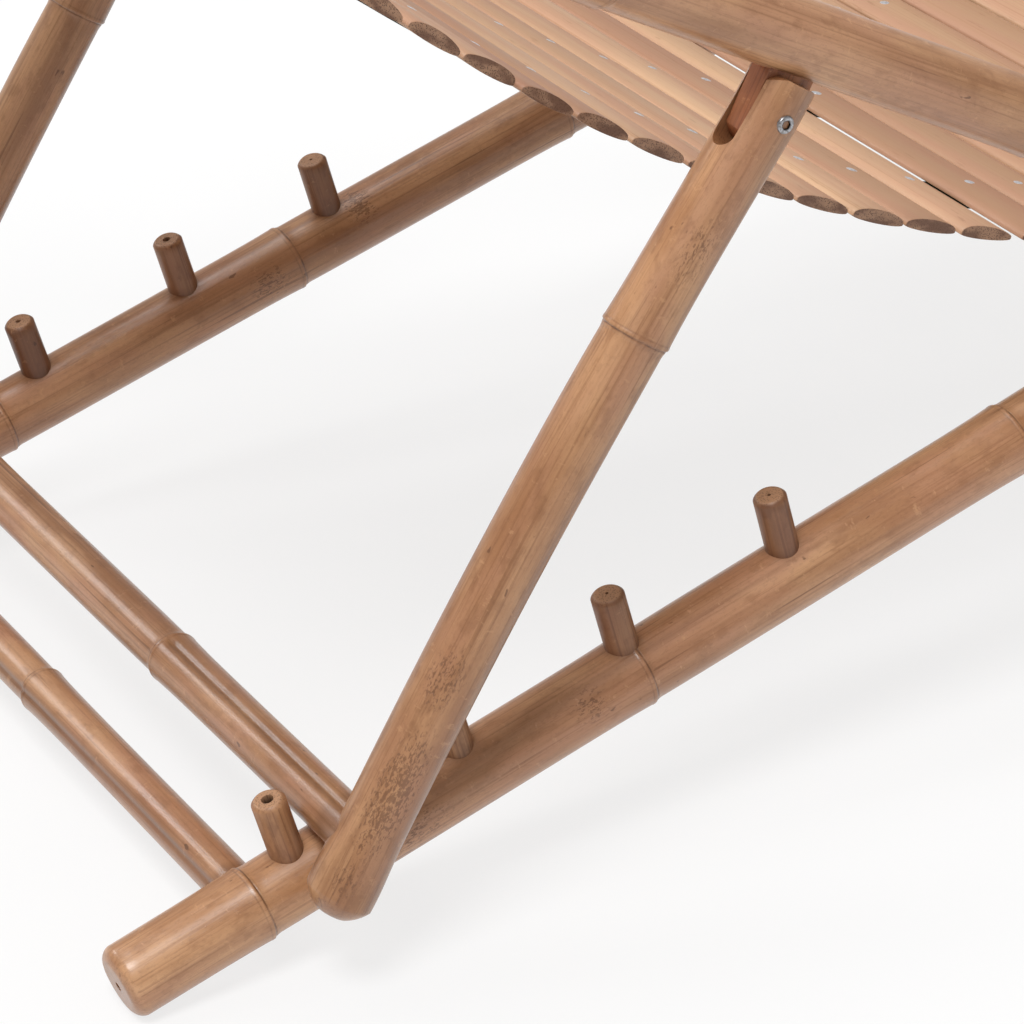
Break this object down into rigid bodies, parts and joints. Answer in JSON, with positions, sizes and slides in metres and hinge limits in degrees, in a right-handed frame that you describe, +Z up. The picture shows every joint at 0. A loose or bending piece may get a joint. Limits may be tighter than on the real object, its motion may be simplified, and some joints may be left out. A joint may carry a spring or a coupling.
{
  "type": "folding recliner",
  "caption": "Folding reclining chair of bamboo poles: crossed frames, a propped back with pegged settings, and a hanging mat of split slats on webbing.",
  "frame": {"origin": "on the ground, under the middle of the bounding box", "axes": "+X towards the foot end, +Y across the seat, +Z up"},
  "size_m": [1.3028, 0.6174, 0.7145],
  "materials": {
    "bamboo_pole": "satin",
    "bamboo_bar": "satin",
    "split_bamboo": "satin",
    "tongue_wood": "matte",
    "steel": "satin",
    "webbing": "matte"
  },
  "bodies": {
    "base_frame": {"near_base_rail": "bamboo_pole", "far_base_rail": "bamboo_pole", "rear_rung": "bamboo_bar", "front_bar": "bamboo_bar", "near_pivot_bolt": "steel", "far_pivot_bolt": "steel", "seat_slat_1": "split_bamboo", "seat_slat_2": "split_bamboo", "seat_slat_3": "split_bamboo", "seat_slat_4": "split_bamboo", "seat_slat_5": "split_bamboo", "seat_slat_6": "split_bamboo", "seat_slat_7": "split_bamboo", "seat_slat_8": "split_bamboo", "seat_webbing_far": "webbing", "seat_webbing_middle": "webbing", "seat_webbing_near": "webbing"},
    "main_frame": {"near_main_pole": "bamboo_pole", "far_main_pole": "bamboo_pole", "head_bar": "bamboo_bar", "foot_bar": "bamboo_bar", "near_tongue": "tongue_wood", "far_tongue": "tongue_wood", "back_slat_1": "split_bamboo", "back_slat_10": "split_bamboo", "back_slat_11": "split_bamboo", "back_slat_12": "split_bamboo", "back_slat_13": "split_bamboo", "back_slat_14": "split_bamboo", "back_slat_15": "split_bamboo", "back_slat_16": "split_bamboo", "back_slat_17": "split_bamboo", "back_slat_18": "split_bamboo", "back_slat_19": "split_bamboo", "back_slat_2": "split_bamboo", "back_slat_20": "split_bamboo", "back_slat_21": "split_bamboo", "back_slat_22": "split_bamboo", "back_slat_23": "split_bamboo", "back_slat_24": "split_bamboo", "back_slat_25": "split_bamboo", "back_slat_3": "split_bamboo", "back_slat_4": "split_bamboo", "back_slat_5": "split_bamboo", "back_slat_6": "split_bamboo", "back_slat_7": "split_bamboo", "back_slat_8": "split_bamboo", "back_slat_9": "split_bamboo", "back_webbing_far": "webbing", "back_webbing_middle": "webbing", "back_webbing_near": "webbing"},
    "prop_frame": {"near_prop_leg": "bamboo_pole", "far_prop_leg": "bamboo_pole", "prop_crossbar": "bamboo_bar", "near_prop_bolt": "steel", "far_prop_bolt": "steel"}
  },
  "joints": [
    {"name": "main_fold", "type": "hinge", "parent": "base_frame", "child": "main_frame", "pos_m": [0.21991, 0, 0.2395], "axis": [0, 1, 0], "range_deg": [0, 62]},
    {"name": "prop_swing", "type": "hinge", "parent": "main_frame", "child": "prop_frame", "pos_m": [-0.22041, 0, 0.42805], "axis": [0, 1, 0], "range_deg": [0, 77]}
  ],
  "couplings": [
    {"joint": "prop_swing", "follows": "main_fold", "ratio": 1.24}
  ]
}
